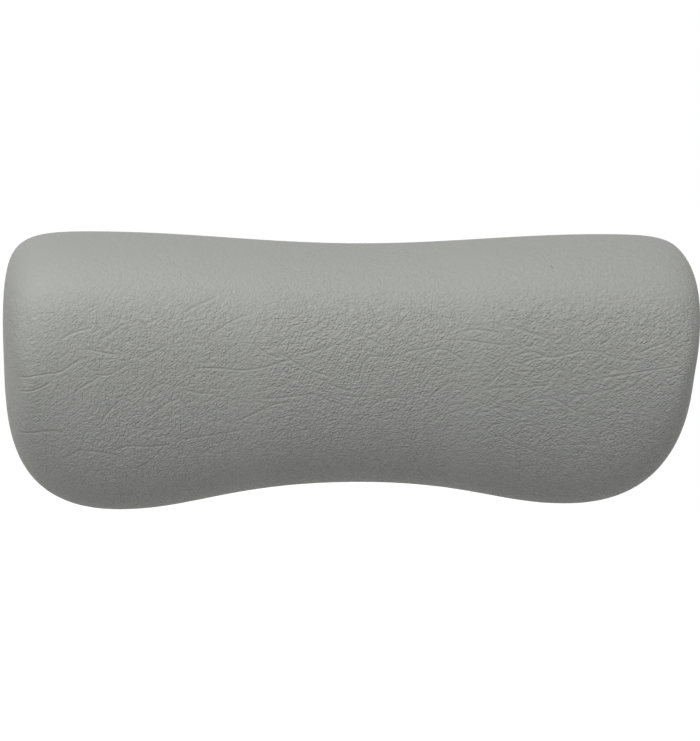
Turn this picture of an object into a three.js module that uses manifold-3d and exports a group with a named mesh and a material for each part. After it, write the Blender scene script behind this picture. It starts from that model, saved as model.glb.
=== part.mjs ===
// Bath pillow: a moulded headrest with a grained skin over foam, held to the tub by two suction cups.
// Millimetres, z up. The tub wall is the plane y = 0, and the face of the pillow looks along -y.
import * as THREE from 'three';
import { mergeVertices } from 'three/addons/utils/BufferGeometryUtils.js';
import { ParametricGeometry } from 'three/addons/geometries/ParametricGeometry.js';
import Module from 'manifold-3d';

const wasm = await Module();
wasm.setup();

// Outline of the pillow, seen from the front
const pillowLength = 320;
const lobeRise = 67;
const waistRise = 62;
const lobeDrop = 67;
const waistDrop = 54;
const topLobeReach = 118;
const bottomLobeReach = 107;
const endRise = 4;

// How far the handles of the outline's curves reach, as shares of each curve's own width and height
const topCornerShares = { end: 0.94, lobe: 1 };
const bottomCornerShares = { end: 0.44, lobe: 0.94 };
const topWaistShares = { lobe: 0.36, middle: 0.36 };
const bottomWaistShares = { lobe: 0.31, middle: 0.53 };

// Cross-section of the pillow: depth from its back, the line of its crown, and the exponents of the
// superellipses that round its shoulders
const middleDepth = 56;
const endDepth = 57;
const crownRise = 15;
const crownLengthShare = 0.9;
const topExponent = 2.4;
const bottomExponent = 2;
const edgeRadius = 10;

// Skin and back panel
const coverWall = 1.6;
const coverReturn = 6;
const seamGroove = 0.4;
const panelThickness = 2;

// Suction cups
const cupEndMargin = 70;
const cupRadius = 28;
const cupRimWidth = 2;
const cupLip = 1.3;
const cupHeight = 10;
const cupCrownWall = 3.5;
const hubRadius = 9;
const hubHeight = 1.2;
const neckRadius = 4;
const headRadius = 6.5;
const headLength = 4;
const tabWidth = 10;
const tabLength = 9;
const tabThickness = 1.1;

// Handles of the cup's curves, as shares of the width and height that each curve spans
const headShares = { flat: 0.7, side: 0.7 };
const bellShares = { hub: 0.3, lip: 0.3, lipSlope: 0.3 };
const hollowShares = { rim: 0.2, rimSlope: 0.5, crown: 0.5 };

// Snap rings and their screws
const ringRadius = 19.7;
const ringThickness = 2.4;
const ringSlitWidth = 0.8;
const ringSlitLength = 4;
const screwCircle = 14.5;
const screwRadius = 1.45;
const screwHeadRadius = 2.7;
const screwHeadHeight = 1.6;
const screwLength = 12;
const screwTip = 1.5;
const driveWidth = 0.7;
const driveLength = 3;
const driveDepth = 1;

// Gaskets
const gasketThickness = 1.5;
const throatRadius = 10.5;

// Insert plate inside the foam
const plateOverhang = 30;
const plateThickness = 3;
const plateCorner = 9;
const chamberRoom = 1.5;
const chamberDepth = 4;
const chamberWall = 1.5;
const bossWall = 2;
const bossFloor = 1.4;
const ribThickness = 2;
const ribHeight = 3.5;
const ribSpacing = 28;
const keyLength = 24;
const keyWidth = 12;
const keyPitch = 36;

// Gap between pieces that touch, and how far a cutting shape runs past what it cuts
const gap = 0.3;
const overrun = 1;

// Counts
const cornerStepCount = 8;
const waistStepCount = 4;
const frontStepCount = 9;
const edgeStepCount = 2;
const screwCount = 4;
const keyCount = 3;
const roundSideCount = 36;
const smallRoundSideCount = 12;
const curveStepCount = 6;

// Planes of the stack behind each suction cup, from the tub wall into the pillow
const backPlane = -cupHeight;
const ringBack = backPlane - gap;
const ringFront = ringBack - ringThickness;
const recessFloor = ringFront - gap;
const dishFront = recessFloor - panelThickness;
const gasketBack = dishFront - gap;
const gasketFront = gasketBack - gasketThickness;
const plateBack = gasketFront - gap;
const plateFront = plateBack - plateThickness;
const recessRadius = ringRadius + gap;
const dishRadius = recessRadius + panelThickness;
const plateWidth = 2 * dishRadius;
const screwHoleRadius = screwRadius + gap;
const screwEnd = ringBack - screwLength;
const cupSpacing = pillowLength - 2 * cupEndMargin;
const cupHollow = cupHeight - cupCrownWall;
const cupSides = [['left', -cupSpacing / 2], ['right', cupSpacing / 2]];

// Solids and booleans

function solidOf(geometry) {
  geometry.deleteAttribute('normal');
  geometry.deleteAttribute('uv');
  const merged = mergeVertices(geometry);
  const kept = [];
  for (let i = 0; i < merged.index.count; i += 3) {
    const corners = Array.from(merged.index.array.slice(i, i + 3));
    if (new Set(corners).size === corners.length) kept.push(...corners);
  }
  return new wasm.Manifold(new wasm.Mesh({
    numProp: 3,
    vertProperties: merged.attributes.position.array,
    triVerts: Uint32Array.from(kept),
  }));
}

function geometryOf(solid) {
  const mesh = solid.getMesh();
  const geometry = new THREE.BufferGeometry();
  geometry.setAttribute('position', new THREE.BufferAttribute(mesh.vertProperties, mesh.numProp));
  geometry.setIndex(new THREE.BufferAttribute(mesh.triVerts, 1));
  geometry.computeVertexNormals();
  return geometry;
}

function joined(solids) {
  return solids.reduce((whole, solid) => whole.add(solid));
}

function cut(solid, tools) {
  return tools.reduce((rest, tool) => rest.subtract(tool), solid);
}

// A round rod along y between two planes, with a second radius at its front if it tapers
function rod(radius, back, front, x = 0, z = 0, steps = roundSideCount, frontRadius = radius) {
  const geometry = new THREE.CylinderGeometry(radius, frontRadius, back - front, steps);
  geometry.translate(x, (back + front) / 2, z);
  return solidOf(geometry);
}

function bar(width, height, back, front, x = 0, z = 0, turn = 0) {
  const geometry = new THREE.BoxGeometry(width, back - front, height);
  geometry.rotateY(turn);
  geometry.translate(x, (back + front) / 2, z);
  return solidOf(geometry);
}

// A flat shape drawn in x and z, made solid between two planes
function sheet(shape, back, front) {
  const options = { depth: back - front, bevelEnabled: false, curveSegments: curveStepCount };
  const geometry = new THREE.ExtrudeGeometry(shape, options);
  geometry.rotateX(Math.PI / 2);
  geometry.translate(0, back, 0);
  return solidOf(geometry);
}

function roundedRectangle(width, height, corner, x = 0) {
  const shape = new THREE.Shape();
  const right = width / 2 - corner;
  const top = height / 2 - corner;
  shape.absarc(x + right, top, corner, 0, Math.PI / 2);
  shape.absarc(x - right, top, corner, Math.PI / 2, Math.PI);
  shape.absarc(x - right, -top, corner, Math.PI, 1.5 * Math.PI);
  shape.absarc(x + right, -top, corner, 1.5 * Math.PI, 2 * Math.PI);
  return shape;
}

function turnedSolid(profile, steps) {
  return solidOf(new THREE.LatheGeometry(profile, steps));
}

function around(count, radius, centreX, startTurn, make) {
  return Array.from({ length: count }, (_, i) => {
    const turn = startTurn + (2 * Math.PI * i) / count;
    return make(centreX + radius * Math.cos(turn), radius * Math.sin(turn), turn);
  });
}

// The outline. Steps run from the right end over the top to the left end and back along the bottom.

const quarterStepCount = cornerStepCount + waistStepCount;
const outlineStepCount = 4 * quarterStepCount;

// The corner and waist curves of the right half, `inset` in from the pillow's widest contour
function outlineCurves(upper, inset) {
  const lobe = upper ? new THREE.Vector2(topLobeReach, lobeRise - inset)
    : new THREE.Vector2(bottomLobeReach, inset - lobeDrop);
  const middle = new THREE.Vector2(0, upper ? waistRise - inset : inset - waistDrop);
  const end = new THREE.Vector2(pillowLength / 2 - inset, endRise);
  const corner = upper ? topCornerShares : bottomCornerShares;
  const waist = upper ? topWaistShares : bottomWaistShares;
  return {
    corner: new THREE.CubicBezierCurve(
      end,
      new THREE.Vector2(end.x, end.y + corner.end * (lobe.y - end.y)),
      new THREE.Vector2(lobe.x + corner.lobe * (end.x - lobe.x), lobe.y),
      lobe,
    ),
    waist: new THREE.CubicBezierCurve(
      lobe,
      new THREE.Vector2(lobe.x * (1 - waist.lobe), lobe.y),
      new THREE.Vector2(lobe.x * waist.middle, middle.y),
      middle,
    ),
  };
}

function outlinePlace(step) {
  const wrapped = step % outlineStepCount;
  const upper = wrapped < 2 * quarterStepCount;
  const fromRight = upper ? wrapped : outlineStepCount - wrapped;
  return { upper, fromRight };
}

function outlinePoint(fromRight, upper, inset) {
  const curves = outlineCurves(upper, inset);
  const inQuarter = Math.min(fromRight, 2 * quarterStepCount - fromRight);
  const point = inQuarter <= cornerStepCount
    ? curves.corner.getPoint(inQuarter / cornerStepCount)
    : curves.waist.getPoint((inQuarter - cornerStepCount) / waistStepCount);
  if (fromRight > quarterStepCount) point.x = -point.x;
  return point;
}

function outlineShape(inset) {
  const points = Array.from({ length: outlineStepCount }, (_, step) => {
    const { upper, fromRight } = outlinePlace(step);
    return outlinePoint(fromRight, upper, inset);
  });
  return new THREE.Shape(points);
}

// The pillow's surface, as closed stations that run from the crown line round the edge to the back.
// A layer is how far a station lies inside the outer surface.

function crownPoint(fromRight) {
  const top = outlinePoint(fromRight, true, 0);
  const bottom = outlinePoint(fromRight, false, 0);
  return new THREE.Vector2((crownLengthShare * (top.x + bottom.x)) / 2, crownRise);
}

function depthAt(crown) {
  const away = crown.x / ((crownLengthShare * pillowLength) / 2);
  return middleDepth + (endDepth - middleDepth) * away * away;
}

function crownStation(layer) {
  return (step) => {
    const crown = crownPoint(outlinePlace(step).fromRight);
    return new THREE.Vector3(crown.x, backPlane - (depthAt(crown) - layer), crown.y);
  };
}

function frontStation(layer, turn) {
  return (step) => {
    const { upper, fromRight } = outlinePlace(step);
    const edge = outlinePoint(fromRight, upper, layer);
    const crown = crownPoint(fromRight);
    const out = edge.clone().sub(crown);
    const lift = (1 + out.y / out.length()) / 2;
    const exponent = bottomExponent + (topExponent - bottomExponent) * lift;
    const reach = Math.cos(turn) ** (2 / exponent);
    const bulge = Math.sin(turn) ** (2 / exponent);
    const depth = edgeRadius + (depthAt(crown) - layer - edgeRadius) * bulge;
    return new THREE.Vector3(crown.x + out.x * reach, backPlane - depth, crown.y + out.y * reach);
  };
}

function edgeStation(layer, backLayer, turn) {
  const inset = edgeRadius - (edgeRadius - layer) * Math.cos(turn);
  const depth = edgeRadius - (edgeRadius - backLayer) * Math.sin(turn);
  return (step) => {
    const { upper, fromRight } = outlinePlace(step);
    const edge = outlinePoint(fromRight, upper, inset);
    return new THREE.Vector3(edge.x, backPlane - depth, edge.y);
  };
}

function returnStation(backLayer) {
  return (step) => {
    const { upper, fromRight } = outlinePlace(step);
    const edge = outlinePoint(fromRight, upper, edgeRadius + coverReturn);
    return new THREE.Vector3(edge.x, backPlane - backLayer, edge.y);
  };
}

function backCrownStation(backLayer) {
  return (step) => {
    const crown = crownPoint(outlinePlace(step).fromRight);
    return new THREE.Vector3(crown.x, backPlane - backLayer, crown.y);
  };
}

function crownToEdge(layer, backLayer) {
  const stations = [crownStation(layer)];
  for (let i = frontStepCount - 1; i >= 0; i -= 1) {
    stations.push(frontStation(layer, ((Math.PI / 2) * i) / frontStepCount));
  }
  for (let i = 1; i <= edgeStepCount; i += 1) {
    stations.push(edgeStation(layer, backLayer, ((Math.PI / 2) * i) / edgeStepCount));
  }
  return stations;
}

function stationSolid(stations) {
  const last = stations.length - 1;
  const place = (u, v, target) => {
    const step = Math.round(u * outlineStepCount);
    target.copy(stations[Math.round((1 - v) * last)](step));
  };
  return solidOf(new ParametricGeometry(place, outlineStepCount, last));
}

// The pieces

function grainCover() {
  const outer = [...crownToEdge(0, 0), returnStation(0)];
  const inner = [...crownToEdge(coverWall, coverWall), returnStation(coverWall)];
  return stationSolid([...outer, ...inner.reverse()]);
}

function screwHoles(centreX, radius, back, front) {
  return around(screwCount, screwCircle, centreX, Math.PI / screwCount,
    (x, z) => rod(radius, back, front, x, z, smallRoundSideCount));
}

// The back panel is dished at each cup, so that the snap ring lies flush in it
function backPanel() {
  const inset = edgeRadius + coverReturn + seamGroove;
  const panel = sheet(outlineShape(inset), backPlane, backPlane - panelThickness);
  const dishes = cupSides.map(([, x]) => rod(dishRadius, backPlane - panelThickness / 2, dishFront, x));
  const tools = cupSides.flatMap(([, x]) => [
    rod(recessRadius, backPlane + overrun, recessFloor, x),
    rod(throatRadius, recessFloor + overrun, dishFront - overrun, x),
    ...screwHoles(x, screwHoleRadius, recessFloor + overrun, dishFront - overrun),
  ]);
  return cut(joined([panel, ...dishes]), tools);
}

function plateKeys(grow) {
  const span = keyPitch * (keyCount - 1);
  return Array.from({ length: keyCount }, (_, i) => {
    const width = keyLength - 2 * grow;
    const height = keyWidth - 2 * grow;
    const slot = roundedRectangle(width, height, height / 2, keyPitch * i - span / 2);
    return sheet(slot, plateBack + grow + overrun, plateFront - grow - overrun);
  });
}

// The insert plate's outer form, grown by a clearance on every side where it is used as a pocket
function plateForm(grow) {
  const length = cupSpacing + 2 * plateOverhang;
  const outline = roundedRectangle(length + 2 * grow, plateWidth + 2 * grow, plateCorner + grow);
  const web = cut(sheet(outline, plateBack + grow, plateFront - grow), plateKeys(grow));
  const middleOfWeb = (plateBack + plateFront) / 2;
  const chamberFront = plateBack - chamberDepth - chamberWall - grow;
  const chamberOuter = headRadius + chamberRoom + chamberWall + grow;
  const bossFront = screwEnd - gap - bossFloor - grow;
  const ribLength = length - 2 * plateCorner;
  const ribs = [-ribSpacing / 2, ribSpacing / 2].map((z) => bar(
    ribLength + 2 * grow, ribThickness + 2 * grow, middleOfWeb, plateFront - ribHeight - grow, 0, z,
  ));
  const sockets = cupSides.flatMap(([, x]) => [
    rod(chamberOuter, middleOfWeb, chamberFront, x),
    ...screwHoles(x, screwHoleRadius + bossWall + grow, middleOfWeb, bossFront),
  ]);
  return joined([web, ...ribs, ...sockets]);
}

function insertPlate() {
  const tools = cupSides.flatMap(([, x]) => [
    rod(headRadius + chamberRoom, plateBack + overrun, plateBack - chamberDepth, x),
    ...screwHoles(x, screwHoleRadius, plateBack + overrun, screwEnd - gap),
  ]);
  return cut(plateForm(0), tools);
}

function foamCore() {
  const backLayer = panelThickness + gap;
  const body = stationSolid([...crownToEdge(coverWall + gap, backLayer), backCrownStation(backLayer)]);
  const wells = cupSides.map(([, x]) => rod(dishRadius + gap, backPlane, plateBack, x));
  return cut(body, [plateForm(gap), ...wells]);
}

function snapRing(centreX) {
  const disc = rod(ringRadius, ringBack, ringFront, centreX);
  const holeRadius = neckRadius + gap;
  const slitReach = holeRadius + ringSlitLength;
  const slits = [0, Math.PI / 2].map((turn) => bar(
    2 * slitReach, ringSlitWidth, ringBack + overrun, ringFront - overrun, centreX, 0, turn,
  ));
  const sinks = around(screwCount, screwCircle, centreX, Math.PI / screwCount, (x, z) => rod(
    screwHeadRadius + gap, ringBack, ringBack - screwHeadHeight, x, z, smallRoundSideCount, screwHoleRadius,
  ));
  const holes = screwHoles(centreX, screwHoleRadius, ringBack + overrun, ringFront - overrun);
  const hole = rod(holeRadius, ringBack + overrun, ringFront - overrun, centreX);
  return cut(disc, [hole, ...slits, ...sinks, ...holes]);
}

function ringScrew() {
  const shankTop = -screwHeadHeight;
  const profile = [
    new THREE.Vector2(0, 0),
    new THREE.Vector2(screwHeadRadius, 0),
    new THREE.Vector2(screwRadius, shankTop),
    new THREE.Vector2(screwRadius, screwTip - screwLength),
    new THREE.Vector2(0, -screwLength),
  ];
  const shank = turnedSolid(profile.reverse(), smallRoundSideCount);
  const drives = [0, Math.PI / 2].map(
    (turn) => bar(driveLength, driveWidth, overrun, -driveDepth, 0, 0, turn),
  );
  return cut(shank, drives);
}

function gasket(centreX) {
  const disc = rod(dishRadius, gasketBack, gasketFront, centreX);
  const throat = rod(throatRadius, gasketBack + overrun, gasketFront - overrun, centreX);
  const holes = screwHoles(centreX, screwHoleRadius, gasketBack + overrun, gasketFront - overrun);
  return cut(disc, [throat, ...holes]);
}

// One suction cup about its own axis: a dished bell, a hub, a neck and a domed head
function suctionCup() {
  const headBack = ringFront - gap;
  const headFront = headBack - headLength;
  const hollowRadius = cupRadius - cupRimWidth;
  const bellFoot = backPlane + hubHeight;
  const bellWidth = cupRadius - hubRadius;
  const bellRise = -cupLip - bellFoot;
  const head = new THREE.CubicBezierCurve(
    new THREE.Vector2(0, headFront),
    new THREE.Vector2(headRadius * headShares.flat, headFront),
    new THREE.Vector2(headRadius, headBack - headLength * headShares.side),
    new THREE.Vector2(headRadius, headBack),
  );
  const bell = new THREE.CubicBezierCurve(
    new THREE.Vector2(hubRadius, bellFoot),
    new THREE.Vector2(hubRadius + bellWidth * bellShares.hub, bellFoot),
    new THREE.Vector2(cupRadius - bellWidth * bellShares.lip, -cupLip - bellRise * bellShares.lipSlope),
    new THREE.Vector2(cupRadius, -cupLip),
  );
  const hollow = new THREE.CubicBezierCurve(
    new THREE.Vector2(hollowRadius, 0),
    new THREE.Vector2(hollowRadius * (1 - hollowShares.rim), -cupHollow * hollowShares.rimSlope),
    new THREE.Vector2(hollowRadius * hollowShares.crown, -cupHollow),
    new THREE.Vector2(0, -cupHollow),
  );
  const profile = [
    ...head.getPoints(curveStepCount),
    new THREE.Vector2(neckRadius, headBack),
    new THREE.Vector2(neckRadius, backPlane),
    new THREE.Vector2(hubRadius, backPlane),
    ...bell.getPoints(curveStepCount),
    new THREE.Vector2(cupRadius, 0),
    ...hollow.getPoints(curveStepCount),
  ];
  const bellSolid = turnedSolid(profile, roundSideCount);
  const tabBack = -(cupLip - tabThickness) / 2;
  const tongue = new THREE.Shape();
  const tabEnd = cupRadius + tabLength - tabWidth / 2;
  const tabRoot = cupRadius - cupRimWidth / 2;
  tongue.moveTo(tabWidth / 2, -tabRoot);
  tongue.lineTo(-tabWidth / 2, -tabRoot);
  tongue.absarc(0, -tabEnd, tabWidth / 2, Math.PI, 2 * Math.PI);
  return joined([bellSolid, sheet(tongue, tabBack, tabBack - tabThickness)]);
}

// Materials and the assembled pillow

const finishes = {
  grainedSkin: new THREE.MeshStandardMaterial({ color: 0x969793, roughness: 0.55, metalness: 0 }),
  panelVinyl: new THREE.MeshStandardMaterial({ color: 0x868783, roughness: 0.6, metalness: 0 }),
  foam: new THREE.MeshStandardMaterial({ color: 0xd9d3c4, roughness: 0.95, metalness: 0 }),
  plateNylon: new THREE.MeshStandardMaterial({ color: 0x3c3e40, roughness: 0.6, metalness: 0 }),
  ringNylon: new THREE.MeshStandardMaterial({ color: 0x5a5c5b, roughness: 0.45, metalness: 0 }),
  gasketRubber: new THREE.MeshStandardMaterial({ color: 0x2a2a2a, roughness: 0.85, metalness: 0 }),
  cupVinyl: new THREE.MeshStandardMaterial({ color: 0xc9d0d2, roughness: 0.25, metalness: 0 }),
  screwSteel: new THREE.MeshStandardMaterial({ color: 0xb9bcbe, roughness: 0.3, metalness: 1 }),
};

const pillow = new THREE.Group();

function addPiece(name, solid, finish, x = 0, y = 0, z = 0) {
  const mesh = new THREE.Mesh(geometryOf(solid), finish);
  mesh.name = name;
  mesh.position.set(x, y, z);
  pillow.add(mesh);
}

addPiece('grain_cover', grainCover(), finishes.grainedSkin);
addPiece('back_panel', backPanel(), finishes.panelVinyl);
addPiece('foam_core', foamCore(), finishes.foam);
addPiece('insert_plate', insertPlate(), finishes.plateNylon);

const cup = suctionCup();
const screw = ringScrew();
for (const [side, x] of cupSides) {
  addPiece(`gasket_${side}`, gasket(x), finishes.gasketRubber);
  addPiece(`snap_ring_${side}`, snapRing(x), finishes.ringNylon);
  addPiece(`suction_cup_${side}`, cup, finishes.cupVinyl, x);
  around(screwCount, screwCircle, x, Math.PI / screwCount, (screwX, screwZ) => [screwX, screwZ])
    .forEach(([screwX, screwZ], i) => {
      addPiece(`ring_screw_${side}_${i + 1}`, screw, finishes.screwSteel, screwX, ringBack, screwZ);
    });
}

export default pillow;
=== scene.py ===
"""A moulded bath pillow: grained skin over foam, a back sheet and two cups that swivel in snap rings."""
import math

import bmesh
import bpy
import numpy as np
from bpy.props import FloatProperty, FloatVectorProperty, PointerProperty
from mathutils import Matrix, Vector, noise


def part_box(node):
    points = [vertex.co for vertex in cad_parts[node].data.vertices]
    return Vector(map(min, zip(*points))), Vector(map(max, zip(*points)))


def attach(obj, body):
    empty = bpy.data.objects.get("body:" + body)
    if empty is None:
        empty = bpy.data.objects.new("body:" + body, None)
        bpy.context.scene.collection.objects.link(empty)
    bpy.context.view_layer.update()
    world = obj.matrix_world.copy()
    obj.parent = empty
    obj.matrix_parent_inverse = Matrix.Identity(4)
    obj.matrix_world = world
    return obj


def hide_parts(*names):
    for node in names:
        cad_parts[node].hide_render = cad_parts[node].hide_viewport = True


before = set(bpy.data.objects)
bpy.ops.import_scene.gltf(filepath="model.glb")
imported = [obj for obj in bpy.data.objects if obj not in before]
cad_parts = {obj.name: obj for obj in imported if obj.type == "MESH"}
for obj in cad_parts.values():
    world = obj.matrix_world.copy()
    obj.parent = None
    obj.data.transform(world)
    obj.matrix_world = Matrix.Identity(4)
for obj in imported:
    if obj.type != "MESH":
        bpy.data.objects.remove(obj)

bl_info = {
    "name": "Bath pillow",
    "version": (1, 0, 0),
    "blender": (4, 5, 0),
    "location": "View3D > Sidebar > Bath pillow",
    "description": "Models and finishes a moulded bath pillow round its packed frame",
    "category": "Add Mesh",
}

MM = 0.001
SIDES = ("left", "right")
MERGE_DISTANCE = 0.001 * MM
PLANE_TOLERANCE = 0.01 * MM
SHARP_ANGLE = math.radians(38)
SKIN_SHARP_ANGLE = math.radians(80)
QUARTER_TURNS = [i * math.pi / 2 for i in range(4)]

# Boxes of the frame's nodes, which the defaults come from
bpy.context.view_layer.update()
COVER_LOW, COVER_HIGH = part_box("grain_cover")
RING_LOW, RING_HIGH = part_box("snap_ring_left")
PLATE_LOW, PLATE_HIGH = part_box("insert_plate")
CUP_LOW, CUP_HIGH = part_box("suction_cup_left")
BACK_PLANE = COVER_HIGH.y
RING_BACK = RING_HIGH.y
RING_RADIUS = (RING_HIGH.x - RING_LOW.x) / 2
RING_FRONT = RING_LOW.y
CUP_X = {side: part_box(f"snap_ring_{side}")[0].x + RING_RADIUS for side in SIDES}

# How far the handles of the outline's curves reach, as shares of each curve's own width and height
TOP_CORNER_SHARES = {"end": 0.94, "lobe": 1.0}
BOTTOM_CORNER_SHARES = {"end": 0.44, "lobe": 0.94}
TOP_WAIST_SHARES = {"lobe": 0.36, "middle": 0.36}
BOTTOM_WAIST_SHARES = {"lobe": 0.31, "middle": 0.53}
CORNER_SHARE = 2 / 3

# Fineness of the padded pieces: columns round the outline, rows from the crown to the back
SKIN_COLUMNS = 2000
SKIN_FRONT_ROWS = 190
SKIN_EDGE_ROWS = 34
SKIN_RETURN_ROWS = 8
LINING_FRONT_ROWS = 12
LINING_EDGE_ROWS = 4
FOAM_COLUMNS = 240
FOAM_FRONT_ROWS = 30
FOAM_EDGE_ROWS = 6
FOAM_BACK_ROWS = 4
SECTION_SAMPLES = 240
OUTLINE_SAMPLES = 4800

# Fineness of the mounting
SHEET_COLUMNS = 480
ROUND_COLUMNS = 96
SMALL_COLUMNS = 28
CORNER_STEPS = 3
WELD_STEPS = 8
THREAD_ROWS = 8
SLIT_END_STEPS = 6
SLIT_ARC_STEPS = 8
CUP_CURVE_STEPS = 14

# Screws: their number round a cup, the point's length, the round on the head, how thin the thread's crests
# are, how much of the thread is left where the point begins, and the cross recess as shares of its width
# and depth
SCREW_COUNT = 4
SCREW_POINT = 0.0016
HEAD_ROUND = 0.00015
THREAD_SLENDERNESS = 1.7
THREAD_END_SHARE = 0.3
DRIVE_SHARES = ((1.0, 0.0), (0.94, 0.15), (0.7, 1.0))

# Cups: the round on their edges, and how far the handles of the head's, the bell's and the hollow's
# curves reach
CUP_ROUND = 0.0003
DOME_SHARE = 0.7
BELL_SHARE = 0.3
HOLLOW_SHARES = (0.8, 0.5)

# Pull tabs: step of the drawing, pitch of the ribs, where they start in pitches and end in shares of the
# rounded tip, thickness between them as a share, and what picks the rim's faces that the tab grows from
TAB_STEP = 0.0003
TAB_RIB_PITCH = 0.0015
TAB_RIB_START = (1.0, 1.5)
TAB_RIB_END = 0.6
TAB_WEB_SHARE = 0.7
TAB_PICK = 0.00001
TAB_ROOT_SHARE = 0.95

# The insert plate's chambers for the cups' heads, the room round a head, and the plate's wall
CHAMBER = 0.0045
CHAMBER_ROOM = 0.0015
PLATE_WALL = 0.0015


def length(name, description, default, **limits):
    """A property in metres."""
    return FloatProperty(name=name, description=description, default=default, unit="LENGTH",
                         subtype="DISTANCE", precision=4, **limits)


def share(name, description, default):
    """A property without a unit."""
    return FloatProperty(name=name, description=description, default=default, min=0)


def bearing(name, description, degrees):
    """A property in radians, given in degrees."""
    return FloatProperty(name=name, description=description, default=math.radians(degrees), subtype="ANGLE")


def colour(name, description, default):
    """A linear colour property."""
    return FloatVectorProperty(name=name, description=description, default=default, subtype="COLOR",
                               size=3, min=0, max=1)


class FormSettings(bpy.types.PropertyGroup):
    """Outline and cross-section of the pillow"""
    pillow_length: length("Pillow length", "From end to end", COVER_HIGH.x - COVER_LOW.x)
    lobe_rise: length("Lobe rise", "Top of the upper lobes above the cups' axes", COVER_HIGH.z)
    lobe_drop: length("Lobe drop", "Foot of the lower lobes below the cups' axes", -COVER_LOW.z)
    waist_rise: length("Waist rise", "Top edge at mid length", 0.062)
    waist_drop: length("Waist drop", "Bottom edge at mid length", 0.054)
    top_lobe_reach: length("Top lobe reach", "Highest points' distance from mid length", 0.118)
    bottom_lobe_reach: length("Bottom lobe reach", "Lowest points' distance from mid length", 0.107)
    end_rise: length("End rise", "Height of the outermost points", 0.004)
    middle_depth: length("Middle depth", "Depth at mid length", 0.056)
    end_depth: length("End depth", "Depth at the ends of the crown", BACK_PLANE - COVER_LOW.y)
    crown_rise: length("Crown rise", "Height of the crown line", 0.015)
    crown_share: share("Crown share", "Length of the crown line as a share of the pillow's", 0.9)
    top_exponent: share("Top exponent", "Roundness of the upper shoulder, 2 being an ellipse", 2.4)
    bottom_exponent: share("Bottom exponent", "Roundness of the lower shoulder, 2 being an ellipse", 2.0)
    edge_radius: length("Edge radius", "Round between the sides and the back", 0.010)


class SkinSettings(bpy.types.PropertyGroup):
    """Moulded skin, its embossed leather grain and the painted shade in its grooves"""
    wall: length("Wall", "Thickness of the skin", 0.0016)
    return_width: length("Return width", "Flat border that the skin has on the back", 0.006)
    rim_round: length("Rim round", "Round on the cut edge of the border", 0.0004)
    gap: length("Gap", "Clearance between pieces that touch", 0.0003)
    pebble_size: length("Pebble size", "Width of the grain's pebbles", 0.0022)
    pebble_depth: length("Pebble depth", "Depth of the grooves between pebbles", 0.00003)
    crease_spacing: length("Crease spacing", "Distance between creases that run alike", 0.0075)
    crease_width: length("Crease width", "Half width of the creases", 0.00065)
    crease_depth: length("Crease depth", "Depth of the creases", 0.00036)
    cell_size: length("Cell size", "Distance between the finest grooves' meeting points", 0.0019)
    cell_depth: length("Cell depth", "Depth of the finest grooves", 0.00014)
    wrinkle_size: length("Wrinkle size", "Distance between the finest wrinkles", 0.0012)
    wrinkle_depth: length("Wrinkle depth", "Depth of the finest wrinkles", 0.0001)
    base: colour("Skin colour", "Grey of the skin", (0.257, 0.262, 0.246))
    # Painted shade: the darker grey stands in for the shade that falls in the grain's grooves and creases
    groove: colour("Groove colour", "Grey in the grooves of the grain", (0.238, 0.243, 0.228))
    foam: colour("Foam colour", "Cream of the foam", (0.69, 0.65, 0.55))


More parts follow.
